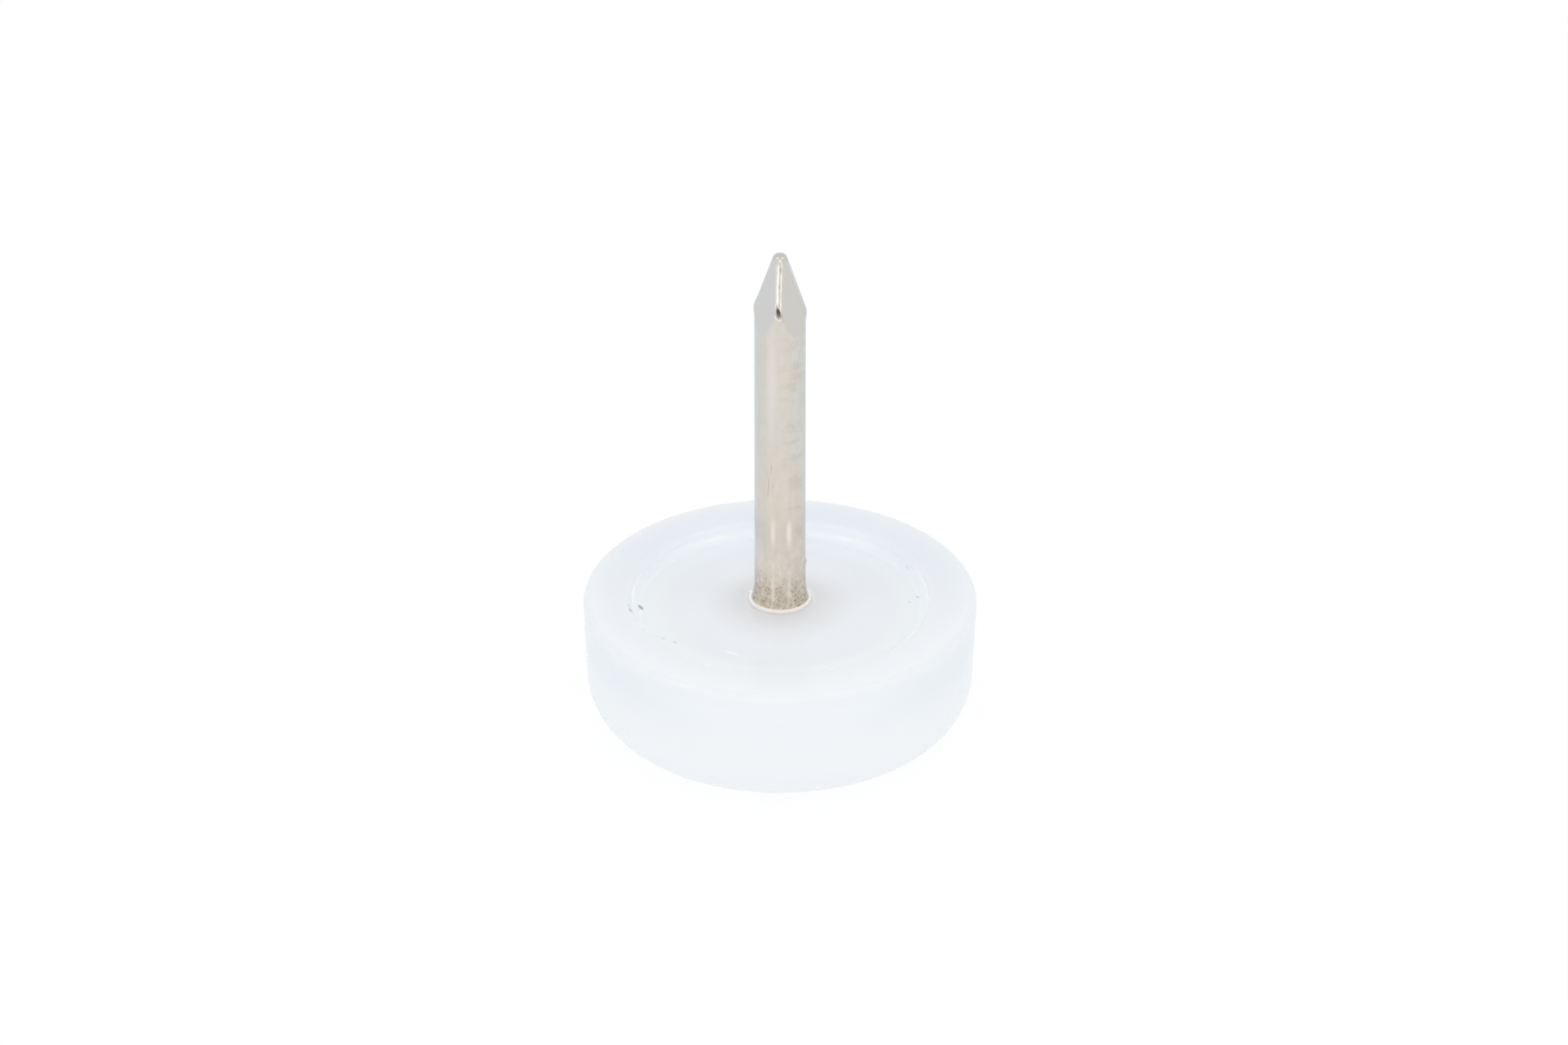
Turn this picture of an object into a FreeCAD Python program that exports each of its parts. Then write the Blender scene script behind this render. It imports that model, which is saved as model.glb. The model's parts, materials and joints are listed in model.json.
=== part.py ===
import FreeCAD, Part
import os

import Sketcher

# Nail-on furniture glide: a moulded plastic pad with a steel nail moulded into it.
# Millimetres. Z runs up the nail, and the origin is the centre of the glide face.

doc = FreeCAD.newDocument("furniture_glide")

# Driving dimensions
DIMENSIONS = {
    "pad_diameter": "24",  # across the rim
    "pad_height": "8.3",  # from the glide face to the rim
    "side_draft": "2.4",  # degrees, the side narrows towards the glide face
    "bottom_round": "3.3",  # between the side and the glide face
    "rim_round": "0.45",  # between the side and the rim
    "rim_width": "2.95",  # flat land from the pad's edge to the recess
    "recess_depth": "0.82",  # from the rim to the ring floor
    "recess_draft": "3",  # degrees, the recess narrows towards its floor
    "recess_bevel": "0.25",  # between the recess wall and the floor
    "floor_width": "3",  # flat ring floor, from the recess wall to the cone
    "cone_rise": "0.64",  # the low cone's top above the ring floor
    "lip_width": "0.19",  # wall of the lip round the nail, at its top
    "lip_height": "0.24",  # above the cone's top
    "lip_bevel": "0.08",  # outer top edge of the lip
    "nail_diameter": "3.1",  # straight shank
    "nail_reach": "23.8",  # from the rim to the tip
    "flare_start": "0.95",  # above the rim, where the shank begins to thicken
    "flare_angle": "8.5",  # degrees, half angle of the neck towards the head
    "head_diameter": "7.6",  # flat head inside the pad
    "head_thickness": "1.4",
    "sole_thickness": "3.5",  # plastic between the head and the glide face
    "point_length": "3.6",  # from the tip to where the ridges meet the shank
    "tip_width": "0.7",  # across the blunt tip, ridge to ridge
    "tip_bevel": "0.12",  # round the edge of the blunt tip
    "ridge_width": "0.33",  # flattened ridge between two facets
    "mould_gap": "0.02",  # between the nail and the pad's cavity
}
sheet = doc.addObject("Spreadsheet::Sheet", "Sizes")
for row, (name, value) in enumerate(DIMENSIONS.items(), start=1):
    sheet.set(f"A{row}", name)
    sheet.set(f"B{row}", value)
    sheet.setAlias(f"B{row}", name)
doc.recompute()

# Places worked out from the driving dimensions, as formulas of the sheet
pad_radius = "Sizes.pad_diameter / 2"
foot_radius = f"({pad_radius} - Sizes.pad_height * tan(Sizes.side_draft))"
rim_level = "Sizes.pad_height"
floor_level = f"({rim_level} - Sizes.recess_depth)"
cone_level = f"({floor_level} + Sizes.cone_rise)"
lip_level = f"({cone_level} + Sizes.lip_height)"
recess_radius = f"({pad_radius} - Sizes.rim_width)"
floor_radius = f"({recess_radius} - Sizes.recess_depth * tan(Sizes.recess_draft))"
cone_radius = f"({floor_radius} - Sizes.floor_width)"

shank_radius = "Sizes.nail_diameter / 2"
tip_radius = "Sizes.tip_width / 2"
head_radius = "Sizes.head_diameter / 2"
head_level = "(Sizes.sole_thickness + Sizes.head_thickness)"
flare_level = f"({rim_level} + Sizes.flare_start)"
tip_level = f"({rim_level} + Sizes.nail_reach)"
shoulder_level = f"({tip_level} - Sizes.point_length)"


def neck_radius(level):
    # The neck is a cone that widens from the shank down to the head.
    return f"({shank_radius} + ({flare_level} - {level}) * tan(Sizes.flare_angle))"


lip_radius = f"({neck_radius(lip_level)} + Sizes.mould_gap + Sizes.lip_width)"


def head_corners(gap):
    # The head and the foot of the neck, stood off by a gap at the side and on top.
    side = f"{head_radius} + {gap}"
    top = f"{head_level} + {gap}"
    return [
        ("0", "Sizes.sole_thickness"),
        (side, "Sizes.sole_thickness"),
        (side, top),
        (f"{neck_radius(head_level)} + {gap}", top),
    ]


def value_of(formula):
    # A formula's present value, worked out by the sheet in a spare cell.
    sheet.set("D1", f"={formula.replace('Sizes.', '')}")
    doc.recompute()
    value = float(sheet.get("D1"))
    sheet.clear("D1")
    return value


def new_body(label):
    body = doc.addObject("PartDesign::Body", label)
    body.Label = label
    return body


def section_sketch(body, name, turn=0.0):
    # A sketch on the body's XZ plane, turned about Z: sketch X is the radius and sketch Y the level.
    sketch = body.newObject("Sketcher::SketchObject", name)
    plane = next(f for f in body.Origin.OriginFeatures if f.Role == "XZ_Plane")
    sketch.AttachmentSupport = [(plane, "")]
    sketch.MapMode = "FlatFace"
    about_z = FreeCAD.Rotation(FreeCAD.Vector(0, 1, 0), turn)
    sketch.AttachmentOffset = FreeCAD.Placement(FreeCAD.Vector(), about_z)
    return sketch


def draw_outline(sketch, corners):
    # A closed outline of straight lines whose corners are pairs of formulas, radius and level.
    spots = [FreeCAD.Vector(value_of(radius), value_of(level), 0) for radius, level in corners]
    count = len(spots)
    for i in range(count):
        sketch.addGeometry(Part.LineSegment(spots[i], spots[(i + 1) % count]), False)
    for i in range(count):
        sketch.addConstraint(Sketcher.Constraint("Coincident", i, 2, (i + 1) % count, 1))
    for i, (radius, level) in enumerate(corners):
        for kind, formula, value, axis in (
            ("DistanceX", radius, spots[i].x, -2),
            ("DistanceY", level, spots[i].y, -1),
        ):
            if formula == "0":
                sketch.addConstraint(Sketcher.Constraint("PointOnObject", i, 1, axis))
            else:
                index = sketch.addConstraint(Sketcher.Constraint(kind, -1, 1, i, 1, value))
                sketch.setExpression(f"Constraints[{index}]", formula)
    doc.recompute()


def revolve(body, kind, name, sketch):
    feature = body.newObject(kind, name)
    feature.Profile = sketch
    feature.ReferenceAxis = (sketch, ["V_Axis"])
    feature.Angle = 360
    doc.recompute()
    return feature


def ring_edge(shape, radius, level):
    # The name of the circular edge about Z that has this radius and level.
    tolerance = 1e-5
    for number, edge in enumerate(shape.Edges, start=1):
        curve = edge.Curve
        if not isinstance(curve, Part.Circle):
            continue
        if abs(curve.Radius - radius) < tolerance and abs(curve.Center.z - level) < tolerance:
            return f"Edge{number}"
    raise ValueError(f"no ring edge of radius {radius} at level {level}")


def dress_ring(body, kind, name, radius, level, size):
    # A Fillet or Chamfer of the given size on the ring edge at this radius and level.
    base = body.Tip
    dressing = body.newObject(f"PartDesign::{kind}", name)
    dressing.Base = (base, [ring_edge(base.Shape, value_of(radius), value_of(level))])
    dressing.setExpression("Radius" if kind == "Fillet" else "Size", size)
    doc.recompute()


# Glide pad: a turned section, its rounded and bevelled edges, then the cavity that the nail fills
pad = new_body("glide_pad")
pad_section = section_sketch(pad, "PadSection")
draw_outline(
    pad_section,
    [
        ("0", "0"),
        (foot_radius, "0"),
        (pad_radius, rim_level),
        (recess_radius, rim_level),
        (floor_radius, floor_level),
        (cone_radius, floor_level),
        (lip_radius, cone_level),
        (lip_radius, lip_level),
        ("0", lip_level),
    ],
)
revolve(pad, "PartDesign::Revolution", "PadBlank", pad_section)
dress_ring(pad, "Fillet", "BottomRound", foot_radius, "0", "Sizes.bottom_round")
dress_ring(pad, "Fillet", "RimRound", pad_radius, rim_level, "Sizes.rim_round")
corner_size = "min(Sizes.recess_bevel; Sizes.recess_depth / 2)"
dress_ring(pad, "Chamfer", "RecessCorner", floor_radius, floor_level, corner_size)
lip_size = "min(Sizes.lip_bevel; Sizes.lip_width / 2; Sizes.lip_height / 2)"
dress_ring(pad, "Chamfer", "LipEdge", lip_radius, lip_level, lip_size)
solid_pad_volume = pad.Shape.Volume

cavity_top = f"({lip_level} + Sizes.lip_height)"
cavity_section = section_sketch(pad, "CavitySection")
draw_outline(
    cavity_section,
    head_corners("Sizes.mould_gap")
    + [
        (f"{neck_radius(cavity_top)} + Sizes.mould_gap", cavity_top),
        ("0", cavity_top),
    ],
)
revolve(pad, "PartDesign::Groove", "NailCavity", cavity_section)
assert pad.Shape.Volume < solid_pad_volume

# Nail: a turned section from head to tip, then four flat facets that meet in flattened ridges
nail = new_body("nail")
nail_section = section_sketch(nail, "NailSection")
draw_outline(
    nail_section,
    head_corners("0")
    + [
        (shank_radius, flare_level),
        (shank_radius, shoulder_level),
        (tip_radius, tip_level),
        ("0", tip_level),
    ],
)
revolve(nail, "PartDesign::Revolution", "NailBlank", nail_section)
dress_ring(nail, "Chamfer", "TipEdge", tip_radius, tip_level, "min(Sizes.tip_bevel; Sizes.tip_width / 4)")
turned_nail_volume = nail.Shape.Volume

# A facet lies this far from the axis, so that two facets leave a ridge of the stated width between them.
facets = 4
ridge_slope = f"(({shank_radius} - {tip_radius}) / Sizes.point_length)"
facet_at_tip = f"(({tip_radius} + Sizes.ridge_width / 2) / sqrt(2))"
facet_length = f"(({shank_radius} - {facet_at_tip}) * sqrt(2) / {ridge_slope})"
facet_foot = f"({tip_level} - {facet_length})"
facet_section = section_sketch(nail, "FacetSection", turn=180 / facets)
draw_outline(
    facet_section,
    [
        (facet_at_tip, tip_level),
        (shank_radius, facet_foot),
        ("Sizes.nail_diameter", facet_foot),
        ("Sizes.nail_diameter", tip_level),
    ],
)
facet = nail.newObject("PartDesign::Pocket", "Facet")
facet.Profile = facet_section
facet.Midplane = True
facet.Type = 0
facet.setExpression("Length", "Sizes.nail_diameter * 2")
doc.recompute()
point = nail.newObject("PartDesign::PolarPattern", "DiamondPoint")
point.Originals = [facet]
point.Axis = (nail_section, ["V_Axis"])
point.Angle = 360
point.Occurrences = facets
nail.Tip = point
doc.recompute()
assert nail.Shape.Volume < turned_nail_volume

# Check every object, then write one file for each piece
for thing in doc.Objects:
    if "Invalid" in thing.State or "Error" in thing.State:
        raise RuntimeError(f"{thing.Label} did not build: {thing.State}")
os.makedirs("parts", exist_ok=True)
for body in (pad, nail):
    if body.Shape.isNull() or not body.Shape.isValid() or len(body.Shape.Solids) != 1:
        raise RuntimeError(f"{body.Label} is not one valid solid")
    body.Shape.exportStep(f"parts/{body.Label}.step")
    box = body.Shape.BoundBox
    print(body.Label, "volume", round(body.Shape.Volume, 2), "levels", round(box.ZMin, 3), round(box.ZMax, 3))
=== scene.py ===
import json
import math

import bpy
import numpy as np
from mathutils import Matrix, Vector


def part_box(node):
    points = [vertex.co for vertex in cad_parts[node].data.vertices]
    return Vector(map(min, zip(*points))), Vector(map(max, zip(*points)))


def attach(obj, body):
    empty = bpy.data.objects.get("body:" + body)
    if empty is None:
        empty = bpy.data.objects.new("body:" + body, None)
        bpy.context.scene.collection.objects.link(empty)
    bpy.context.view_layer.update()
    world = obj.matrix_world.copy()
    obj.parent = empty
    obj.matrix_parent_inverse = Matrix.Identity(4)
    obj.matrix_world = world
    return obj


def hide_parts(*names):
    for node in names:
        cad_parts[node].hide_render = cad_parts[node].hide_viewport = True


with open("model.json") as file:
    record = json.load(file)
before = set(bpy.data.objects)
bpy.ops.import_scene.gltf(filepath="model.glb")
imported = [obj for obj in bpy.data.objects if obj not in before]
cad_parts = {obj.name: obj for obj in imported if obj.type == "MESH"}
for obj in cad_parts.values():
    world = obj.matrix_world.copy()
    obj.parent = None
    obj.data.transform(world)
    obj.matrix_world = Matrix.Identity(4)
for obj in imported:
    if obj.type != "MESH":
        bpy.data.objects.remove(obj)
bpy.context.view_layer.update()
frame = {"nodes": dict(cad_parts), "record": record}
print("frame loaded with", ", ".join(sorted(frame["nodes"])))

mm = 0.001
mounts = {mount["name"]: mount for mount in frame["record"]["mounts"]}
padLow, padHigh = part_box("glide_pad")
padReach = min(-padLow.x, padHigh.x, -padLow.y, padHigh.y)
nailLow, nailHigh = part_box("nail")
rimLevel = mounts["rim_seat"]["pos_m"][2]
shankRadius = mounts["nail_shank"]["dims"]["r_mm"] * mm


# Shared mesh work

def roundedProfile(corners, rounds, arcStep, arcLength, runCount):
    # A line of (radius, level) points: straight runs between the corners, and at each inner corner
    # the arc of its own radius that touches both runs. No step along an arc is over the angle
    # arcStep or the length arcLength. Points crowd towards the ends of a run.
    corners = np.array(corners)
    stretches = [corners[:1]]
    for before, corner, after, radius in zip(corners, corners[1:], corners[2:], rounds):
        back = (before - corner) / np.linalg.norm(before - corner)
        ahead = (after - corner) / np.linalg.norm(after - corner)
        half = math.acos(np.dot(back, ahead)) / 2
        middle = (back + ahead) / np.linalg.norm(back + ahead)
        centre = corner + middle * radius / math.sin(half)
        first = corner + back * radius / math.tan(half) - centre
        last = corner + ahead * radius / math.tan(half) - centre
        turn = math.pi - 2 * half
        steps = math.ceil(max(2, turn / arcStep, turn * radius / arcLength))
        t = np.linspace(0, 1, steps + 1)[:, None]
        arc = centre + (np.sin((1 - t) * turn) * first + np.sin(t * turn) * last) / math.sin(turn)
        stretches.append(arc)
    stretches.append(corners[-1:])
    t = (1 - np.cos(np.linspace(0, math.pi, runCount + 2)[1:-1, None])) / 2
    line = [stretches[0]]
    for before, after in zip(stretches, stretches[1:]):
        line.append(before[-1] * (1 - t) + after[0] * t)
        line.append(after)
    return np.concatenate(line)


def ringGrid(radius, level, angle):
    # Rings about Z: x = r cos a, y = r sin a, z = level, for r on a rows by columns grid.
    level = np.broadcast_to(level, radius.shape)
    return np.stack([radius * np.cos(angle), radius * np.sin(angle), level], axis=-1)


def closedPiece(name, rings, firstPole, lastPole):
    # Quads between neighbouring rings, and a fan of triangles to a pole at each end.
    rowCount, columns = rings.shape[:2]
    points = np.concatenate([rings.reshape(-1, 3), [firstPole], [lastPole]])
    index = np.arange(rowCount * columns).reshape(rowCount, columns)
    beside = np.roll(index, -1, axis=1)
    quads = np.stack([index[:-1], beside[:-1], beside[1:], index[1:]], axis=-1).reshape(-1, 4)
    pole = np.full(columns, rowCount * columns)
    startFan = np.stack([beside[0], index[0], pole], axis=-1)
    endFan = np.stack([index[-1], beside[-1], pole + 1], axis=-1)
    mesh = bpy.data.meshes.new(name)
    mesh.from_pydata(points.tolist(), [], quads.tolist() + startFan.tolist() + endFan.tolist())
    mesh.shade_smooth()
    piece = bpy.data.objects.new(name, mesh)
    bpy.context.scene.collection.objects.link(piece)
    return piece


def keepMask(piece, name, values):
    # One number a vertex for the material to read; the two poles get 0.
    mask = piece.data.attributes.new(name, "FLOAT", "POINT")
    mask.data.foreach_set("value", np.append(values.ravel(), [0, 0]))


def evenAngles(columns):
    return np.linspace(0, 2 * math.pi, columns, endpoint=False)


def turnFrom(angle, middle):
    # The turn from the middle to each angle, at most half a turn either way.
    return np.angle(np.exp(1j * (angle - middle)))


def hump(distance, reach):
    # A smooth bell: 1 in the middle, about a third at the reach, fading to 0 beyond.
    return np.exp(-((distance / reach) ** 2))


def smoothStep(value, low, high):
    t = np.clip((value - low) / (high - low), 0, 1)
    return t * t * (3 - 2 * t)


def smoothLeast(a, b, blend):
    # The lesser of two lengths, with the crease between them rounded over the blend length.
    part = np.clip(0.5 + (b - a) / (2 * blend), 0, 1)
    return b + (a - b) * part - blend * part * (1 - part)


# Plated nail: head and neck inside the pad, round shank, four-sided point

nailShape = {
    "headThickness": 1.4 * mm,
    "headRound": 0.2 * mm,
    "neckRound": 0.1 * mm,
    "flareStart": 0.95 * mm,
    "flareAngle": math.radians(8.5),
    "flareBlend": 5 * mm,
    "mouldGap": 0.02 * mm,
    "pointLength": 3.6 * mm,
    "lopsided": 0.05 * mm,  # the right ridge is this much longer than the mean, the left one shorter
    "tipRadius": 0.35 * mm,
    "domeHeight": 0.32 * mm,
    "domeRadius": 0.47 * mm,
    "domeBlend": 0.04 * mm,
    "domeTurn": math.radians(84),  # of the last ring before the tip's pole
    "shoulderRound": 0.12 * mm,
    "ridgeWidth": 0.33 * mm,
    "edgeBlend": 0.025 * mm,
    "pointTurn": math.radians(-4.5),
    "seamDepth": 0.022 * mm,  # groove along each flattened ridge
    "seamWidth": 0.045 * mm,
    "seamOffset": 0.05 * mm,
    "seamStart": (0.2 * mm, 0.5 * mm),  # above the shoulder, from none to full
    "seamEnd": 0.3 * mm,  # fade below the dome
    "notchLevel": 20.5 * mm,  # above the rim, at the foot of the front ridge
    "notchDepth": 0.16 * mm,
    "notchWidth": 0.13 * mm,
    "notchHeight": 0.34 * mm,
    "notchLean": 0.3,
    "notchTaper": 0.45,  # narrowing for each notch height upwards
    "notchSpan": (-0.6, 1.6),  # notch heights over which it narrows
    "bulge": 0.06 * mm,  # metal squeezed out at the shoulder
    "bulgeReach": 0.4 * mm,
    "bulgeLevels": {0: 19.85 * mm, math.pi: 20.3 * mm},  # above the rim, by ridge angle
    "burr": 0.06 * mm,
    "burrLevel": 2.45 * mm,
    "burrWidth": 0.12 * mm,
    "burrHeight": 0.25 * mm,
    "thinMask": (0.02 * mm, 0.06 * mm),  # inside the shank's radius, from none to full
    "tipMask": (0.4 * mm, 0.2 * mm),  # below the dome, from none to full
    "shaftAbove": 1.0 * mm,  # even rows start this far above the flare
    "closeBelow": 1.9 * mm,  # close rows start this far below the shoulder
    "columns": 288,
    "shaftRows": 64,
    "pointRows": 150,
    "domeRows": 14,
    "arcStep": math.radians(9),
    "arcLength": 0.15 * mm,
    "runCount": 6,
}
headTop = nailLow.z + nailShape["headThickness"]
flareLevel = rimLevel + nailShape["flareStart"]


def neckRadius(level):
    return shankRadius + (flareLevel - level) * math.tan(nailShape["flareAngle"])


def nailRows():
    # Radius and level of the turned nail's rings, from the head up: head and neck by their section, even
    # rows along the shank, close rows along the point, and rows by equal turns over the rounded tip.
    s = nailShape
    shaftStart = flareLevel + s["shaftAbove"]
    pointStart = nailHigh.z - s["pointLength"] - s["closeBelow"]
    domeStart = nailHigh.z - s["domeHeight"]
    corners = [
        (0, nailLow.z),
        (nailHigh.x, nailLow.z),
        (nailHigh.x, headTop),
        (neckRadius(headTop), headTop),
        (shankRadius, flareLevel),
        (shankRadius, shaftStart),
    ]
    rounds = [s["headRound"], s["headRound"], s["neckRound"], s["flareBlend"]]
    lower = roundedProfile(corners, rounds, s["arcStep"], s["arcLength"], s["runCount"])[1:]
    over = np.linspace(0, s["domeTurn"], s["domeRows"])[1:]
    upper = np.concatenate(
        [
            np.linspace(shaftStart, pointStart, s["shaftRows"])[1:],
            np.linspace(pointStart, domeStart, s["pointRows"])[1:],
            domeStart + s["domeHeight"] * np.sin(over),
        ]
    )
    radius = np.append(lower[:, 0], np.full(len(upper), shankRadius))
    level = np.append(lower[:, 1], upper)
    return radius[:, None], level[:, None]


def platedNail():
    # The turned nail is held under a cone whose length changes round the axis, then under four
    # slanted planes: a plane facing the angle f at the distance d holds the radius under d / cos(a - f).
    # A groove follows each ridge. Bells add the squeezed shoulders and the burr, and cut the notch. At the
    # tip a dome of radius R holds the radius under R sqrt(1 - t * t), where t rises from 0 to 1.
    s = nailShape
    turned, level = nailRows()
    angle = evenAngles(s["columns"])
    quarter = math.pi / 2
    below = nailHigh.z - level
    above = level - rimLevel
    slope = (shankRadius - s["tipRadius"]) / (s["pointLength"] + s["lopsided"] * np.cos(angle))
    cone = s["tipRadius"] + below * slope
    radius = smoothLeast(turned, cone, s["shoulderRound"])

    offFacet = (angle - s["pointTurn"]) % quarter - quarter / 2
    facet = (s["tipRadius"] + s["ridgeWidth"] / 2 + below * slope) / math.sqrt(2) / np.cos(offFacet)
    onFacet = smoothStep(radius - facet, -0.5 * s["edgeBlend"], s["edgeBlend"])
    radius = smoothLeast(radius, facet, s["edgeBlend"])

    for ridgeAngle, height in s["bulgeLevels"].items():
        around = shankRadius * turnFrom(angle, ridgeAngle)
        bell = hump(around, s["bulgeReach"]) * hump(above - height, s["bulgeReach"])
        radius = radius + s["bulge"] * bell
    around = shankRadius * turnFrom(angle, 0)
    bell = hump(around, s["burrWidth"]) * hump(above - s["burrLevel"], s["burrHeight"])
    radius = radius + s["burr"] * bell

    offRidge = (angle - s["pointTurn"] + quarter / 2) % quarter - quarter / 2
    shoulder = nailHigh.z - s["pointLength"]
    seamNone, seamFull = s["seamStart"]
    alongPoint = smoothStep(level, shoulder + seamNone, shoulder + seamFull)
    alongPoint = alongPoint * smoothStep(below, s["domeHeight"], s["domeHeight"] + s["seamEnd"])
    seam = hump(radius * np.sin(offRidge) - s["seamOffset"], s["seamWidth"]) * alongPoint

    front = turnFrom(angle, s["pointTurn"] + 3 * quarter)
    rise = (above - s["notchLevel"]) / s["notchHeight"]
    narrowing = 1 - s["notchTaper"] * np.clip(rise, *s["notchSpan"])
    aside = shankRadius * front + s["notchLean"] * s["notchHeight"] * rise
    notch = hump(aside, s["notchWidth"] * narrowing) * hump(rise, 1)
    radius = radius - s["seamDepth"] * seam - s["notchDepth"] * notch

    domeRise = np.clip((level - nailHigh.z + s["domeHeight"]) / s["domeHeight"], 0, 1)
    dome = s["domeRadius"] * np.sqrt(1 - domeRise**2)
    radius = np.where(domeRise > 0, smoothLeast(radius, dome, s["domeBlend"]), radius)
    rings = ringGrid(radius, level, angle)
    piece = closedPiece("platedNail", rings, (0, 0, nailLow.z), (0, 0, nailHigh.z))

    thinned = smoothStep(shankRadius - radius, *s["thinMask"]) * alongPoint
    tipNone, tipFull = s["tipMask"]
    nearTip = smoothStep(below, s["domeHeight"] + tipNone, s["domeHeight"] + tipFull)
    onPoint = np.maximum(np.maximum(onFacet, thinned), nearTip)
    keepMask(piece, "onPoint", onPoint)
    keepMask(piece, "ridge", (onPoint - onFacet) * alongPoint)
    keepMask(piece, "seam", seam)
    keepMask(piece, "notch", notch)
    return piece


# Glide pad: one moulding with a shallow recess, a low cone and a lip round the nail

padShape = {
    "sideDraft": math.radians(2.4),
    "bottomRound": 3.3 * mm,
    "rimRound": 0.45 * mm,
    "landWidth": 2.95 * mm,
    "recessDepth": 0.82 * mm,
    "recessDraft": math.radians(3),
    "recessEdge": 0.3 * mm,
    "recessCorner": 0.4 * mm,
    "floorWidth": 3.0 * mm,
    "coneRise": 0.64 * mm,
    "coneBlend": 9 * mm,
    "lipWidth": 0.19 * mm,
    "lipFoot": 0.1 * mm,
    "lipRound": 0.09 * mm,
    "columns": 320,
    "arcStep": math.radians(5),
    "arcLength": 0.15 * mm,
    "runCount": 6,
}


def glidePad():
    # The pad's section turned about Z: glide face, side, rim, recess, cone, lip, then the nail's cavity.
    s = padShape
    gap = nailShape["mouldGap"]
    rimReach = s["rimRound"] * (1 / math.tan(math.pi / 4 - s["sideDraft"] / 2) - 1)
    padRadius = padReach + rimReach
    footRadius = padRadius - rimLevel * math.tan(s["sideDraft"])
    recessRadius = padRadius - s["landWidth"]
    floorLevel = rimLevel - s["recessDepth"]
    floorRadius = recessRadius - s["recessDepth"] * math.tan(s["recessDraft"])
    lipInner = neckRadius(padHigh.z) + gap
    lipOuter = lipInner + s["lipWidth"]
    section = [  # radius, level, rounding of the corner
        (footRadius, 0, s["bottomRound"]),
        (padRadius, rimLevel, s["rimRound"]),
        (recessRadius, rimLevel, s["recessEdge"]),
        (floorRadius, floorLevel, s["recessCorner"]),
        (floorRadius - s["floorWidth"], floorLevel, s["coneBlend"]),
        (lipOuter, floorLevel + s["coneRise"], s["lipFoot"]),
        (lipOuter, padHigh.z, s["lipRound"]),
        (lipInner, padHigh.z, s["lipRound"]),
        (neckRadius(headTop) + gap, headTop + gap, nailShape["neckRound"]),
        (nailHigh.x + gap, headTop + gap, nailShape["headRound"]),
        (nailHigh.x + gap, nailLow.z, nailShape["headRound"]),
    ]
    corners = [(0, 0)] + [(radius, level) for radius, level, _ in section] + [(0, nailLow.z)]
    rounds = [rounding for _, _, rounding in section]
    line = roundedProfile(corners, rounds, s["arcStep"], s["arcLength"], s["runCount"])[1:-1]
    angle = evenAngles(s["columns"])
    radius = np.broadcast_to(line[:, :1], (len(line), s["columns"]))
    rings = ringGrid(radius, line[:, 1:], angle)
    return closedPiece("glidePad", rings, (0, 0, 0), (0, 0, nailLow.z))


pad = glidePad()
nail = platedNail()
for piece, node, slot in ((pad, "glide_pad", "pad_plastic"), (nail, "nail", "nail_nickel")):
    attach(piece, "root")
    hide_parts(node)
    print(piece.name, "has", len(piece.data.polygons), "faces")


# Shared node work

def put(tree, kind, inputs=None, **settings):
    node = tree.nodes.new(kind)
    for name, value in settings.items():
        setattr(node, name, value)
    for name, value in (inputs or {}).items():
        if isinstance(value, bpy.types.NodeSocket):
            tree.links.new(value, node.inputs[name])
        else:
            node.inputs[name].default_value = value
    return node


def sums(tree, operation, first, second):
    return put(tree, "ShaderNodeMath", {0: first, 1: second}, operation=operation).outputs[0]


def ramp(tree, value, low, high, start=0.0, end=1.0):
    limits = {"Value": value, "From Min": low, "From Max": high, "To Min": start, "To Max": end}
    return put(tree, "ShaderNodeMapRange", limits, interpolation_type="SMOOTHSTEP").outputs[0]


def tint(tree, factor, first, second):
    return put(tree, "ShaderNodeMix", {0: factor, 6: first, 7: second}, data_type="RGBA").outputs[2]


def times(tree, mask, *factors):
    for factor in factors:
        mask = sums(tree, "MULTIPLY", mask, factor)
    return mask


def zone(tree, measures, spans):
    # The product of smooth ramps: each measure runs from none to full over its span in millimetres.
    ramps = [ramp(tree, measures[name], low * mm, high * mm) for name, (low, high) in spans.items()]
    return times(tree, *ramps)


def newTree(owner):
    owner.use_nodes = True
    owner.node_tree.nodes.clear()
    return owner.node_tree


def newGroup(name, inputs, outputs):
    group = bpy.data.node_groups.new(name, "ShaderNodeTree")
    for label, kind in inputs.items():
        group.interface.new_socket(label, in_out="INPUT", socket_type=kind)
    for label, kind in outputs.items():
        group.interface.new_socket(label, in_out="OUTPUT", socket_type=kind)
    return group, group.nodes.new("NodeGroupInput").outputs, group.nodes.new("NodeGroupOutput").inputs


maskNoise = {"cloudDetail": 3.0, "raggedScale": 9000.0, "raggedDetail": 2.0}


def cloudGroup():
    # Noise stretched along the axes, cut between two values to a mask from 0 to 1.
    inputs = {
        "Vector": "NodeSocketVector",
        "Stretch": "NodeSocketVector",
        "Low": "NodeSocketFloat",
        "High": "NodeSocketFloat",
    }
    group, given, made = newGroup("cloudMask", inputs, {"Mask": "NodeSocketFloat"})
    ends = {0: given["Vector"], 1: given["Stretch"]}
    place = put(group, "ShaderNodeVectorMath", ends, operation="MULTIPLY").outputs[0]
    settings = {"Vector": place, "Scale": 1.0, "Detail": maskNoise["cloudDetail"]}
    noise = put(group, "ShaderNodeTexNoise", settings).outputs[0]
    group.links.new(ramp(group, noise, given["Low"], given["High"]), made["Mask"])
    return group


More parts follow.
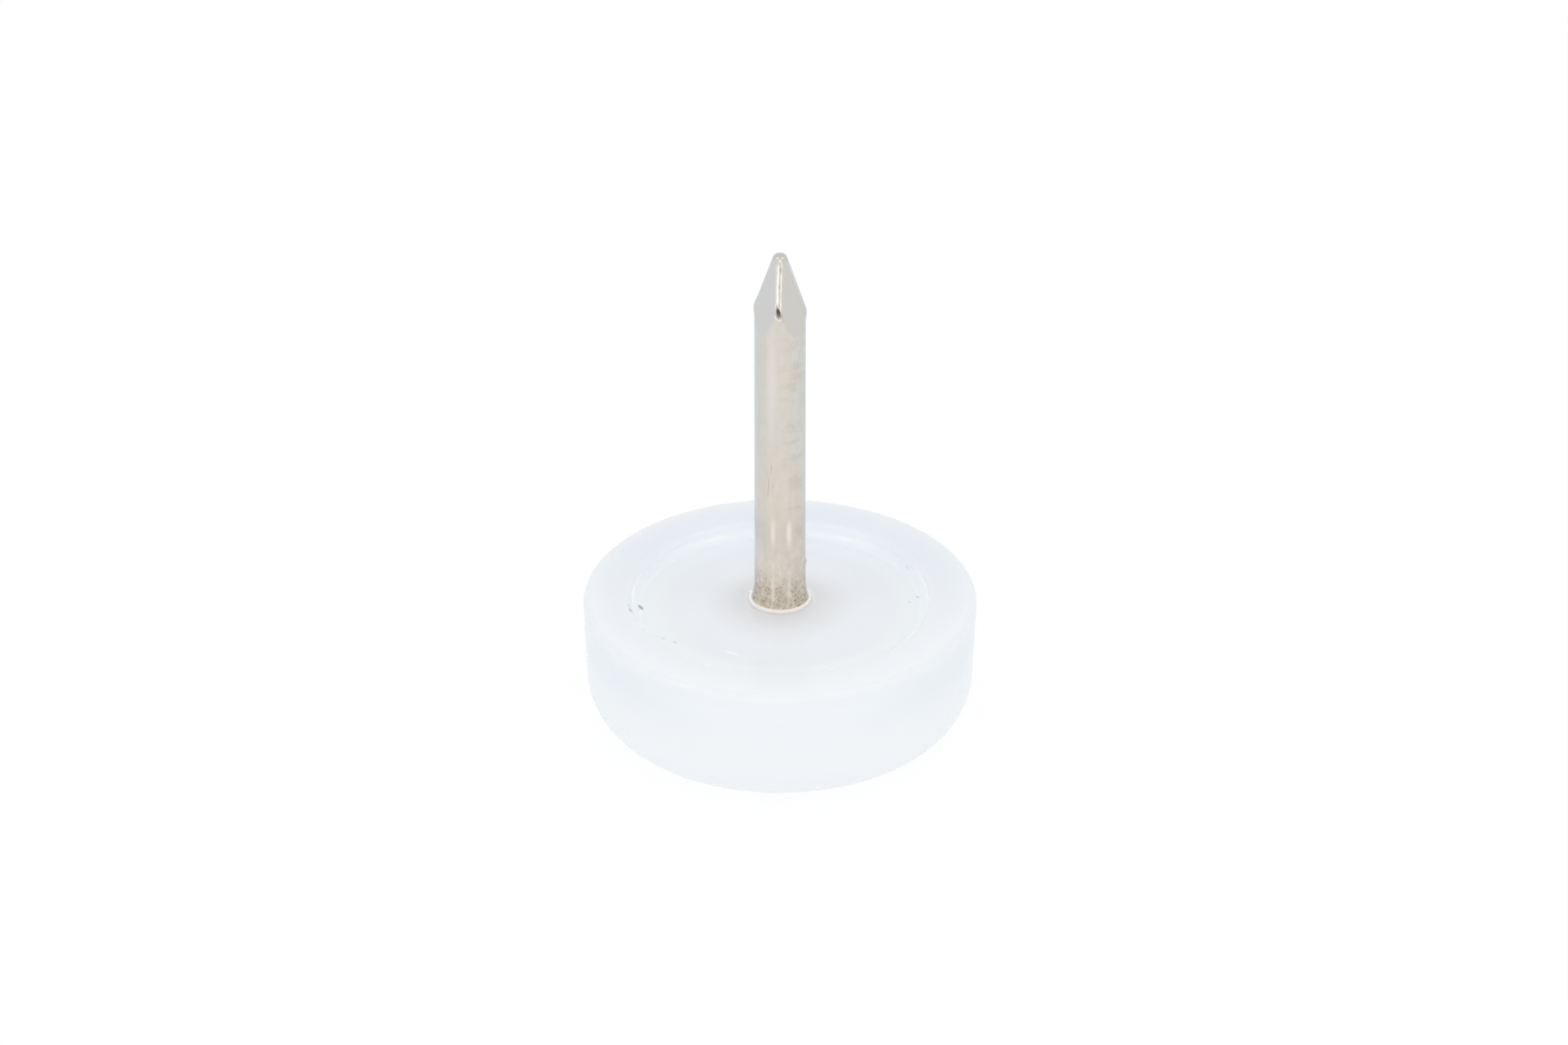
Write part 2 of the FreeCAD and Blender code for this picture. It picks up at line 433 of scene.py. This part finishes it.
def spotGroup():
    # An oval spot with a ragged edge: the distance from its centre in half sizes, roughened by noise.
    inputs = {
        "Vector": "NodeSocketVector",
        "Centre": "NodeSocketVector",
        "Turn": "NodeSocketVector",
        "Size": "NodeSocketVector",
        "Ragged": "NodeSocketFloat",
        "Core": "NodeSocketFloat",
    }
    group, given, made = newGroup("spotMask", inputs, {"Mask": "NodeSocketFloat"})
    places = {
        "Vector": given["Vector"],
        "Location": given["Centre"],
        "Rotation": given["Turn"],
        "Scale": given["Size"],
    }
    local = put(group, "ShaderNodeMapping", places, vector_type="TEXTURE").outputs[0]
    distance = put(group, "ShaderNodeVectorMath", {0: local}, operation="LENGTH").outputs["Value"]
    settings = {
        "Vector": given["Vector"],
        "Scale": maskNoise["raggedScale"],
        "Detail": maskNoise["raggedDetail"],
    }
    noise = put(group, "ShaderNodeTexNoise", settings).outputs[0]
    rough = times(group, sums(group, "SUBTRACT", noise, 0.5), given["Ragged"])
    mask = ramp(group, sums(group, "ADD", distance, rough), 1.0, given["Core"])
    group.links.new(mask, made["Mask"])
    return group


cloudMask = cloudGroup()
spotMask = spotGroup()


def placeGroup(tree, group, vector, values):
    # One copy of a mask group, placed with its own values.
    node = tree.nodes.new("ShaderNodeGroup")
    node.node_tree = group
    tree.links.new(vector, node.inputs["Vector"])
    for name, value in values.items():
        node.inputs[name].default_value = value
    return node.outputs["Mask"]


def cloud(tree, vector, stretch, low, high):
    return placeGroup(tree, cloudMask, vector, {"Stretch": stretch, "Low": low, "High": high})


def spot(tree, vector, centre, size, turn=0.0, ragged=0.8, core=0.45):
    # The size is in half sizes, and the turn about Z in degrees.
    values = {"Centre": centre, "Turn": (0, 0, math.radians(turn)), "Size": size}
    return placeGroup(tree, spotMask, vector, {**values, "Ragged": ragged, "Core": core})


def finishMaterial(tree, inputs):
    shader = put(tree, "ShaderNodeBsdfPrincipled", inputs)
    put(tree, "ShaderNodeOutputMaterial", {"Surface": shader.outputs["BSDF"]})


# Pad plastic: cool white, glossy and a little translucent, with nicks and dirt in the recess, and painted
# light and shade: tones by how the light falls, glows, and painted highlights at the wall's foot and on
# the floor

padFinish = {
    # Painted light and shade in the plastic's tones: the top darker at the rear and lighter at the front,
    # a lit tone for the side, painted shade on the upper side towards the left and right, and painted
    # shade on the rim's rounded edge against its highlight.
    "rear": (0.787, 0.823, 0.873, 1),
    "front": (0.85, 0.877, 0.908, 1),
    "side": (0.867, 0.886, 0.904, 1),
    "sideTop": (0.803, 0.835, 0.867, 1),
    "rimEdge": (0.792, 0.815, 0.84, 1),
    # Painted light and shade in the recess: the floor darker at the rear, and a lighter ring and wall
    # against the shade in the corner, lightest at the front.
    "recessRear": (0.817, 0.853, 0.897, 1),
    "recess": (0.853, 0.888, 0.94, 1),
    "ringRear": (0.855, 0.893, 0.962, 1),
    "ring": (0.88, 0.919, 0.978, 1),
    "ringFront": (0.905, 0.945, 0.995, 1),
    "wall": (0.885, 0.923, 1.0, 1),
    "noGlow": (0, 0, 0, 1),
    # Painted light: glows on the wall, beside it and at its foot lift the shade there.
    "wallGlow": (0.0, 0.008, 0.03, 1),
    "besideGlow": (0.07, 0.066, 0.068, 1),
    "wallFootGlow": (0.046, 0.042, 0.044, 1),
    # Painted shade round the nail's foot: the nail's shade and its dark head seen through the plastic.
    "halo": (0.76, 0.75, 0.745, 1),
    "haloStrength": 0.5,
    "haloFoot": (1.8 * mm, 3.0 * mm, 0.2, 1.0),  # two radii, and the share at each
    # Painted light: the lip is painted whiter than the plastic and glows on its crown and at its foot.
    "lip": (1.0, 0.98, 0.95, 1),
    "lipGlow": (0.215, 0.212, 0.208, 1),
    "lipFootGlow": (0.075, 0.07, 0.066, 1),
    "lipCrown": (-0.14 * mm, -0.04 * mm, 0.7, 1.0),  # two levels from the rim, and the share at each
    "rimShade": (13 * mm, -11 * mm),  # along Y, from the rear colour to the front one
    "flowNoise": ((220, 220, 300), 0.3, 0.7),  # stretch along the axes, and the mask's two bounds
    "flowReach": 2 * mm,
    "sideSpread": (3 * mm, 10.5 * mm, 0.25, 1.0),  # off the middle, and the share at each
    "rimEdgeShare": 0.75,
    "smearNoise": ((600, 600, 600), 0.4, 0.75),
    "roughness": (0.12, 0.2),
    "peelNoise": ((2500, 2500, 2500), 0.2, 0.8),
    "peelBump": {"Strength": 0.05, "Distance": 0.02 * mm},
    "scatterReach": (1.0, 1.0, 1.0),
    "scatterScale": 2.5 * mm,
    "scatterShare": 0.7,
    "gloss": 0.3,
    "zones": {  # spans in mm from none to full: distance from the axis, level from the rim, place
        "top": {"level": (-1.2, -0.9)},
        "side": {"radius": (10, 11), "level": (-0.05, -1.5)},
        "sideTop": {"radius": (11.5, 11.8), "level": (-4.3, -1.3)},
        "rimEdge": {"radius": (11.4, 11.75), "level": (-1.6, 0)},
        "recess": {"radius": (9.0, 8.6)},
        "nearRecess": {"y": (9, 1)},
        "ring": {"radius": (6.6, 8.2)},
        "frontRing": {"y": (-3.5, -7.5)},
        "wall": {"inner": (8.5, 8.9), "outer": (9.4, 9.2), "level": (0.05, -0.28)},
        "wallFoot": {"inner": (8.35, 8.65), "outer": (9.2, 9.0), "level": (-0.28, -0.58)},
        "beside": {
            "inner": (8.75, 8.95),
            "outer": (9.4, 9.25),
            "level": (-0.1, -0.22),
            "aside": (7.9, 8.8),
            "y": (-5, -3),
        },
        "halo": {"radius": (5.2, 2.2)},
        "lip": {"radius": (2.0, 1.94), "level": (-0.18, -0.12)},
        "lipFoot": {"radius": (2.4, 2.0), "level": (-0.06, -0.15)},
    },
    "speckLevels": {"floor": (-0.7, 0.6), "rim": (0.0, 0.35)},  # level from the rim and half depth in mm
    "specks": [  # x and y in mm, where, length and width in mm, turn in degrees, strength, colour
        (-9.2, -1.2, "rim", 0.6, 0.16, -76, 0.4, "grey"),
        (-9.09, -1.7, "rim", 0.7, 0.22, -74, 0.9, "grey"),
        (-8.5, 0.02, "floor", 0.9, 0.28, -66, 0.9, "olive"),
        (-7.07, -3.7, "floor", 0.3, 0.24, 0, 0.32, "olive"),
        (-6.38, -4.12, "floor", 0.5, 0.2, -63, 0.36, "olive"),
        (7.8, 4.45, "floor", 0.5, 0.12, -60, 0.17, "grey"),
        (8.41, 1.23, "floor", 0.27, 0.22, 0, 0.6, "grey"),
        (7.9, 0.63, "floor", 0.26, 0.22, 0, 0.5, "grey"),
        (5.98, -6.7, "rim", 0.8, 0.13, 52, 0.6, "rose"),
        (6.25, -6.38, "rim", 0.65, 0.13, 46, 0.5, "grey"),
        (6.51, -6.17, "rim", 0.6, 0.13, 31, 0.45, "grey"),
        (-1.8, 0.68, "rim", 0.4, 0.3, 20, 1.0, "rust"),
        # Not a speck: a painted highlight on the floor at the cone's foot.
        (-2.9, -5.47, "floor", 1.5, 0.2, -32, 0.8, "scuff"),
    ],
    # Painted highlights: light caught at the wall's foot on either side of the nail.
    "gleams": [(-4.0, 8.08, 26.5), (4.2, 7.98, -27.5)],  # x and y in mm, turn in degrees
    "gleamLevel": -0.67,  # from the rim in mm, at the wall's foot
    "gleamSize": (2.6, 0.6, 0.24),  # in mm
    "gleamEdge": (0.2, 0.1),  # raggedness, and the share of the size where it is full
    "gleamShare": 0.9,
    # White of the painted highlights.
    "scuff": (1.0, 1.0, 1.0, 1),
    "grey": (0.42, 0.43, 0.45, 1),
    "olive": (0.43, 0.42, 0.37, 1),
    "rose": (0.6, 0.53, 0.52, 1),
    "rust": (0.3, 0.2, 0.15, 1),
}


def padPlastic():
    s = padFinish
    material = bpy.data.materials.new("padPlastic")
    material.cycles.emission_sampling = "NONE"
    tree = newTree(material)
    place = put(tree, "ShaderNodeTexCoord").outputs["Object"]
    axes = put(tree, "ShaderNodeSeparateXYZ", {0: place}).outputs
    flat = put(tree, "ShaderNodeCombineXYZ", {"X": axes["X"], "Y": axes["Y"]}).outputs[0]
    fromAxis = put(tree, "ShaderNodeVectorMath", {0: flat}, operation="LENGTH").outputs["Value"]
    level = sums(tree, "SUBTRACT", axes["Z"], rimLevel)
    aside = sums(tree, "ABSOLUTE", axes["X"], 0.0)
    measures = {
        "radius": fromAxis,
        "inner": fromAxis,
        "outer": fromAxis,
        "level": level,
        "aside": aside,
        "y": axes["Y"],
    }
    zones = {name: zone(tree, measures, spans) for name, spans in s["zones"].items()}
    onTop = zones["top"]
    onWall = times(tree, zones["wall"], onTop)

    # Painted shade: the top darker at the rear and lighter at the front, with a wavy border.
    flow = times(tree, cloud(tree, place, *s["flowNoise"]), s["flowReach"])
    shade = ramp(tree, sums(tree, "ADD", axes["Y"], flow), *s["rimShade"])
    colour = tint(tree, shade, s["rear"], s["front"])
    # Painted light on the side: its own lit tone, painted shade on its upper part towards the left and
    # right, and on the rim's rounded edge.
    colour = tint(tree, zones["side"], colour, s["side"])
    sideTop = times(tree, zones["sideTop"], ramp(tree, aside, *s["sideSpread"]))
    colour = tint(tree, sideTop, colour, s["sideTop"])
    colour = tint(tree, times(tree, zones["rimEdge"], s["rimEdgeShare"]), colour, s["rimEdge"])
    # Painted light and shade in the recess: darker at the rear, and a lighter ring and wall against the
    # corner's shade.
    floor = tint(tree, zones["nearRecess"], s["recessRear"], s["recess"])
    outer = tint(tree, zones["nearRecess"], s["ringRear"], s["ring"])
    outer = tint(tree, zones["frontRing"], outer, s["ringFront"])
    floor = tint(tree, zones["ring"], floor, outer)
    colour = tint(tree, times(tree, zones["recess"], onTop), colour, floor)
    colour = tint(tree, onWall, colour, s["wall"])
    # Painted shade round the nail's foot.
    halo = times(tree, zones["halo"], onTop, ramp(tree, fromAxis, *s["haloFoot"]), s["haloStrength"])
    colour = tint(tree, halo, colour, s["halo"])
    # Painted light: the lip painted whiter.
    colour = tint(tree, zones["lip"], colour, s["lip"])

    # Painted light: glows on the wall, at its foot and beside it, and on the lip's crown and foot.
    glow = tint(tree, onWall, s["noGlow"], s["wallGlow"])
    for name in ("wallFoot", "beside", "lipFoot"):
        glow = tint(tree, times(tree, zones[name], onTop), glow, s[name + "Glow"])
    lipCrown = times(tree, zones["lip"], ramp(tree, level, *s["lipCrown"]))
    glow = tint(tree, lipCrown, glow, s["lipGlow"])

    for x, y, where, length, width, turn, strength, dirt in s["specks"]:
        above, depth = s["speckLevels"][where]
        centre = (x * mm, y * mm, rimLevel + above * mm)
        size = (length / 2 * mm, width / 2 * mm, depth * mm)
        mark = times(tree, spot(tree, place, centre, size, turn), strength, onTop)
        colour = tint(tree, mark, colour, s[dirt])
        glow = tint(tree, mark, glow, s["noGlow"])
    # Painted highlights at the wall's foot.
    gleamHalves = tuple(extent / 2 * mm for extent in s["gleamSize"])
    for x, y, turn in s["gleams"]:
        centre = (x * mm, y * mm, rimLevel + s["gleamLevel"] * mm)
        mark = spot(tree, place, centre, gleamHalves, turn, *s["gleamEdge"])
        colour = tint(tree, times(tree, mark, s["gleamShare"]), colour, s["scuff"])

    rough = ramp(tree, cloud(tree, place, *s["smearNoise"]), 0.0, 1.0, *s["roughness"])
    peel = cloud(tree, place, *s["peelNoise"])
    bump = put(tree, "ShaderNodeBump", {"Height": peel, **s["peelBump"]})
    finishMaterial(
        tree,
        {
            "Base Color": colour,
            "Roughness": rough,
            "Specular IOR Level": s["gloss"],
            "Normal": bump.outputs[0],
            "Emission Color": glow,
            "Emission Strength": 1.0,
            "Subsurface Weight": s["scatterShare"],
            "Subsurface Radius": s["scatterReach"],
            "Subsurface Scale": s["scatterScale"],
        },
    )
    return material


# Nail nickel: warm plating with drawing lines, soft brown rungs with painted shade to the right, painted
# sheen, highlights and shade on the shank and point, and tarnish with painted shade and specks at the foot

nailFinish = {
    "nickel": (0.706, 0.67, 0.608, 1),
    "warmShank": (0.738, 0.673, 0.583, 1),
    # Painted light: the low shank is painted lighter.
    "lowShank": (0.885, 0.797, 0.69, 1),
    "drawn": (0.66, 0.625, 0.555, 1),
    "rung": (0.61, 0.55, 0.465, 1),
    # Painted shade: the point's right faces are painted darker than the left ones.
    "facet": (0.655, 0.64, 0.61, 1),
    "facetRight": (0.615, 0.598, 0.57, 1),
    # Painted highlight: the flattened ridges painted brighter, broken by darker patches.
    "ridge": (0.77, 0.75, 0.72, 1),
    "ridgeWear": (0.6, 0.565, 0.53, 1),
    # Tarnish and painted shade at the foot, where the nail meets the pad.
    "tarnish": (0.555, 0.467, 0.375, 1),
    "speck": (0.34, 0.26, 0.18, 1),
    # Painted sheen: the bright reflected streaks low on the shank.
    "polished": (0.95, 0.85, 0.75, 1),
    "seam": (0.45, 0.35, 0.26, 1),
    # Painted shade in the notch.
    "notch": (0.145, 0.125, 0.11, 1),
    "dome": (0.585, 0.565, 0.54, 1),
    "pale": (0.765, 0.729, 0.686, 1),
    "scratch": (0.47, 0.42, 0.37, 1),
    # Painted reflection: a cool blue tint on the metal's edges.
    "edge": (0.86, 0.93, 1.0, 1),
    "roughness": (0.22, 0.34),
    "roughSpan": (0.2, 1.6),  # of drawing lines and tarnish together
    "warmLevels": (13 * mm, 5 * mm),  # above the rim, from none to full
    "lowLevels": (5.5 * mm, 2 * mm),
    "tarnishLevels": (3.7 * mm, 0.4 * mm),
    "domeDepths": (0.4 * mm, 0.15 * mm),  # below the tip, from none to full
    "drawnNoise": ((2600, 2600, 70), 0.35, 0.7),  # stretch along the axes, and the mask's two bounds
    "drawnShare": 0.3,
    "drawnHeights": (1.0, 0.1),  # of the lines' relief, on the shank and on the point
    "drawnBump": {"Strength": 0.05, "Distance": 0.02 * mm},
    "rungNoise": ((700, 700, 1500), 0.45, 0.68),
    "rungShares": (0.2, 1.0),
    # Painted shade: rungs stronger towards the right.
    "rungSides": (-0.3 * mm, 0.8 * mm, 0.1, 0.6),  # along X, and the share at each
    "rungLevels": (2 * mm, 5 * mm, 0.4, 1.0),  # above the rim, and the share at each
    "mottleNoise": ((2600, 2600, 1700), 0.38, 0.66),
    "mottleShare": 0.16,
    "facetSides": (-0.2 * mm, 0.3 * mm),  # along X, from the left colour to the right one
    "facetShare": 0.92,
    "wearNoise": ((6000, 6000, 3200), 0.46, 0.62),
    "wearShare": 0.5,
    "ridgeShare": 0.9,
    "grainNoise": ((3600, 3600, 3000), 0.4, 0.62),
    "grainShares": (0.5, 0.95),
    "fineNoise": ((6000, 6000, 5200), 0.585, 0.65),
    "fineShare": 0.85,
    "seamShare": 0.7,
    "notchGain": 1.3,
    "markDepth": 0.8 * mm,
    "markEdge": (0.4, 0.1),  # raggedness, and the share of the size where it is full
    "marks": [  # x and level above the rim, width and height in mm, strength, colour
        (-0.5, 15.5, 0.9, 11, 0.6, "pale"),
        (0.35, 8.0, 0.7, 5.0, 0.4, "pale"),
        # Painted sheen: the bright reflected streaks low on the shank.
        (-0.43, 5.2, 0.5, 3.0, 0.75, "polished"),
        (0.55, 5.2, 0.5, 3.0, 0.85, "polished"),
        (-0.43, 1.4, 0.44, 4.2, 0.5, "polished"),
        (0.55, 1.4, 0.4, 4.2, 0.5, "polished"),
        (-0.8, 9.3, 0.14, 1.6, 0.6, "rung"),
        (-0.68, 8.6, 0.1, 1.4, 0.7, "scratch"),
        (-0.52, 9.8, 0.09, 1.3, 0.6, "scratch"),
        (-0.45, 8.5, 0.1, 1.2, 0.5, "scratch"),
        (-0.74, 8.0, 0.08, 0.9, 0.5, "scratch"),
        (0.83, 17.0, 0.28, 0.7, 0.5, "rung"),
        (0.85, 15.6, 0.24, 0.5, 0.5, "rung"),
        (0.8, 14.4, 0.26, 0.6, 0.45, "rung"),
        (0.82, 12.5, 0.26, 0.8, 0.45, "rung"),
        (0.84, 10.5, 0.3, 0.7, 0.55, "rung"),
        # Tarnish and painted shade at the foot's front.
        (0.05, 0.8, 0.7, 2.0, 0.7, "tarnish"),
        (-0.72, 0.95, 0.2, 0.2, 0.6, "speck"),
        (-0.15, 0.3, 0.12, 0.22, 0.8, "speck"),
        (0.78, 0.8, 0.16, 0.14, 0.5, "speck"),
        (-0.75, 1.35, 0.22, 0.2, 0.35, "speck"),
        (-0.02, 23.38, 0.3, 0.4, 0.9, "scratch"),
        (0.05, 23.0, 0.24, 0.7, 0.9, "scratch"),
        (-0.05, 22.02, 0.26, 0.3, 0.7, "scratch"),
        (-0.08, 20.95, 0.24, 0.4, 0.6, "scratch"),
    ],
}


def nailNickel():
    s = nailFinish
    material = bpy.data.materials.new("nailNickel")
    tree = newTree(material)
    place = put(tree, "ShaderNodeTexCoord").outputs["Object"]
    axes = put(tree, "ShaderNodeSeparateXYZ", {0: place}).outputs
    level = sums(tree, "SUBTRACT", axes["Z"], rimLevel)
    belowTip = sums(tree, "SUBTRACT", nailHigh.z, axes["Z"])
    onPoint, ridge, seam, notch = (
        put(tree, "ShaderNodeAttribute", attribute_name=name).outputs["Fac"]
        for name in ("onPoint", "ridge", "seam", "notch")
    )

    lines = cloud(tree, place, *s["drawnNoise"])
    colour = tint(tree, ramp(tree, level, *s["warmLevels"]), s["nickel"], s["warmShank"])
    # Painted light: the low shank lighter.
    colour = tint(tree, ramp(tree, level, *s["lowLevels"]), colour, s["lowShank"])
    colour = tint(tree, times(tree, lines, s["drawnShare"]), colour, s["drawn"])
    # Soft brown rungs, with painted shade: stronger towards the right.
    rungs = ramp(tree, cloud(tree, place, *s["rungNoise"]), 0, 1, *s["rungShares"])
    rungs = times(tree, rungs, ramp(tree, axes["X"], *s["rungSides"]), ramp(tree, level, *s["rungLevels"]))
    colour = tint(tree, rungs, colour, s["rung"])
    mottle = cloud(tree, place, *s["mottleNoise"])
    colour = tint(tree, times(tree, mottle, s["mottleShare"]), colour, s["rung"])
    # Painted shade: the point darker on its right faces.
    facet = tint(tree, ramp(tree, axes["X"], *s["facetSides"]), s["facet"], s["facetRight"])
    colour = tint(tree, times(tree, onPoint, s["facetShare"]), colour, facet)
    # Painted highlight on the flattened ridges, broken by darker patches.
    dimmed = cloud(tree, place, *s["wearNoise"])
    crest = tint(tree, times(tree, dimmed, s["wearShare"]), s["ridge"], s["ridgeWear"])
    colour = tint(tree, times(tree, ridge, s["ridgeShare"]), colour, crest)
    colour = tint(tree, ramp(tree, belowTip, *s["domeDepths"]), colour, s["dome"])

    # Tarnish and painted shade at the foot, where it meets the pad.
    foot = ramp(tree, level, *s["tarnishLevels"])
    grain = ramp(tree, cloud(tree, place, *s["grainNoise"]), 0, 1, *s["grainShares"])
    colour = tint(tree, times(tree, foot, grain), colour, s["tarnish"])
    fine = cloud(tree, place, *s["fineNoise"])
    colour = tint(tree, times(tree, fine, foot, s["fineShare"]), colour, s["speck"])

    # A mark lies on the front of the shank, or on the point where the nail is thinner.
    slope = (shankRadius - nailShape["tipRadius"]) / nailShape["pointLength"]
    for x, above, width, height, strength, name in s["marks"]:
        markLevel = rimLevel + above * mm
        reach = min(shankRadius, nailShape["tipRadius"] + (nailHigh.z - markLevel) * slope)
        centre = (x * mm, -math.sqrt(reach**2 - (x * mm) ** 2), markLevel)
        size = (width / 2 * mm, s["markDepth"], height / 2 * mm)
        mark = spot(tree, place, centre, size, 0.0, *s["markEdge"])
        colour = tint(tree, times(tree, mark, strength), colour, s[name])
    colour = tint(tree, times(tree, seam, s["seamShare"]), colour, s["seam"])
    # Painted shade in the notch.
    dark = sums(tree, "MINIMUM", times(tree, notch, s["notchGain"]), 1.0)
    colour = tint(tree, dark, colour, s["notch"])

    rough = ramp(tree, sums(tree, "ADD", lines, foot), *s["roughSpan"], *s["roughness"])
    rough = put(tree, "ShaderNodeMix", {0: onPoint, 2: rough, 3: s["roughness"][0]}).outputs[0]
    relief = times(tree, lines, ramp(tree, onPoint, 0.0, 1.0, *s["drawnHeights"]))
    bump = put(tree, "ShaderNodeBump", {"Height": relief, **s["drawnBump"]})
    finishMaterial(
        tree,
        {
            "Base Color": colour,
            "Roughness": rough,
            "Normal": bump.outputs[0],
            "Metallic": 1.0,
            # Painted reflection: a cool blue tint on the metal's edges.
            "Specular Tint": s["edge"],
        },
    )
    return material


pad.data.materials.append(padPlastic())
nail.data.materials.append(nailNickel())
print("materials made")


# Stage, light and camera

stageSet = {
    "floorSize": 4.0,
    "floorCells": 41,
    "floorLevel": -0.03 * mm,
    "floorColour": (0.95, 0.95, 0.95, 1),
    "floorShadow": 0.1,  # share of the floor's own shade that shows
    "floorGlow": 1.01,
    "floorSeen": (1.0, 1.0, 1.0, 1),  # what the camera sees
    "floorFront": (1.0, 1.0, 1.0, 1),  # what metal mirrors in front of the part and behind it
    "floorRear": (0.9, 0.95, 1.0, 1),
    "floorChange": (-0.035, 0.005),
    # Painted shadow: the floor close by is darker in what the pad mirrors and in the light it gives.
    "floorNear": (0.92, 0.945, 0.97, 1),  # what the pad's side mirrors close by
    "floorReach": (0.04, 0.02),
    "skyColour": (1.0, 1.0, 1.0, 1),
    "skyLight": 0.88,  # for rays that are neither seen nor mirrored
}


def studioFloor():
    s = stageSet
    half = s["floorSize"] / 2
    edge = np.linspace(-half, half, s["floorCells"] + 1)
    x, y = np.meshgrid(edge, edge)
    points = np.stack([x, y, np.full_like(x, s["floorLevel"])], axis=-1).reshape(-1, 3)
    index = np.arange(len(points)).reshape(x.shape)
    lower, upper = index[:-1], index[1:]
    quads = np.stack([lower[:, :-1], lower[:, 1:], upper[:, 1:], upper[:, :-1]], axis=-1).reshape(-1, 4)
    mesh = bpy.data.meshes.new("studioFloor")
    mesh.from_pydata(points.tolist(), [], quads.tolist())
    floor = bpy.data.objects.new("studioFloor", mesh)
    bpy.context.scene.collection.objects.link(floor)
    material = bpy.data.materials.new("floorWhite")
    tree = newTree(material)
    place = put(tree, "ShaderNodeTexCoord").outputs["Object"]
    depth = put(tree, "ShaderNodeSeparateXYZ", {0: place}).outputs["Y"]
    byCamera = put(tree, "ShaderNodeLightPath").outputs["Is Camera Ray"]
    mirrored = tint(tree, ramp(tree, depth, *s["floorChange"]), s["floorFront"], s["floorRear"])
    away = put(tree, "ShaderNodeVectorMath", {0: place}, operation="LENGTH").outputs["Value"]
    # Painted shadow of the pad on the floor close by, for all but camera rays.
    mirrored = tint(tree, ramp(tree, away, *s["floorReach"]), mirrored, s["floorNear"])
    colour = tint(tree, byCamera, mirrored, s["floorSeen"])
    matt = put(tree, "ShaderNodeBsdfDiffuse", {"Color": s["floorColour"]})
    white = put(tree, "ShaderNodeEmission", {"Color": colour, "Strength": s["floorGlow"]})
    share = 1 - s["floorShadow"]
    above = put(tree, "ShaderNodeMixShader", {0: share, 1: matt.outputs[0], 2: white.outputs[0]})
    below = put(tree, "ShaderNodeBsdfTransparent")
    fromBelow = put(tree, "ShaderNodeNewGeometry").outputs["Backfacing"]
    mix = put(tree, "ShaderNodeMixShader", {0: fromBelow, 1: above.outputs[0], 2: below.outputs[0]})
    put(tree, "ShaderNodeOutputMaterial", {"Surface": mix.outputs[0]})
    floor.data.materials.append(material)


def studioSky():
    world = bpy.data.worlds.new("studioSky")
    bpy.context.scene.world = world
    tree = newTree(world)
    rays = put(tree, "ShaderNodeLightPath").outputs
    mirrored = sums(tree, "MAXIMUM", rays["Is Glossy Ray"], rays["Is Transmission Ray"])
    seen = sums(tree, "MAXIMUM", rays["Is Camera Ray"], mirrored)
    strength = ramp(tree, seen, 0.0, 1.0, stageSet["skyLight"], 1.0)
    sky = put(tree, "ShaderNodeBackground", {"Color": stageSet["skyColour"], "Strength": strength})
    put(tree, "ShaderNodeOutputWorld", {"Surface": sky.outputs[0]})


cameraSet = {
    "elevation": math.radians(30.3),
    "distance": 0.7,
    "pixelsPerMetre": 18920,  # in the photograph, 1800 pixels wide
    "imageWidth": 1800,
    "sensorWidth": 36,
    "aim": (0.24 * mm, 0, 13.47 * mm),
    "clip": (0.01, 10),
}
aim = Vector(cameraSet["aim"])

softboxes = {
    "softboxLow": {"place": (0, -0.65, 0.1), "size": (0.5, 0.16), "power": 0.14},
    "softboxFront": {"place": (0, -0.55, 0.3), "size": (0.4, 0.3), "power": 0.12},
    "softboxLeft": {"place": (-0.34, -0.17, 0.47), "size": (0.28, 0.4), "power": 0.25},
    "softboxRight": {"place": (0.34, -0.17, 0.47), "size": (0.28, 0.4), "power": 0.25},
}


def softbox(name, place, size, power):
    lamp = bpy.data.lights.new(name, "AREA")
    lamp.shape = "RECTANGLE"
    lamp.size, lamp.size_y = size
    lamp.energy = power
    holder = bpy.data.objects.new(name, lamp)
    holder.location = place
    holder.rotation_mode = "QUATERNION"
    holder.rotation_quaternion = (aim - Vector(place)).to_track_quat("-Z", "Y")
    bpy.context.scene.collection.objects.link(holder)


def photoCamera():
    s = cameraSet
    data = bpy.data.cameras.new("photoCamera")
    data.sensor_width = s["sensorWidth"]
    data.lens = s["sensorWidth"] * s["distance"] * s["pixelsPerMetre"] / s["imageWidth"]
    data.clip_start, data.clip_end = s["clip"]
    camera = bpy.data.objects.new("photoCamera", data)
    back = Vector((0, -math.cos(s["elevation"]), math.sin(s["elevation"])))
    camera.location = aim + back * s["distance"]
    camera.rotation_mode = "QUATERNION"
    camera.rotation_quaternion = (-back).to_track_quat("-Z", "Y")
    bpy.context.scene.collection.objects.link(camera)
    bpy.context.scene.camera = camera


studioFloor()
studioSky()
for name, settings in softboxes.items():
    softbox(name, **settings)
photoCamera()
bpy.context.scene.view_settings.view_transform = "Standard"
print("stage, lights and camera set")
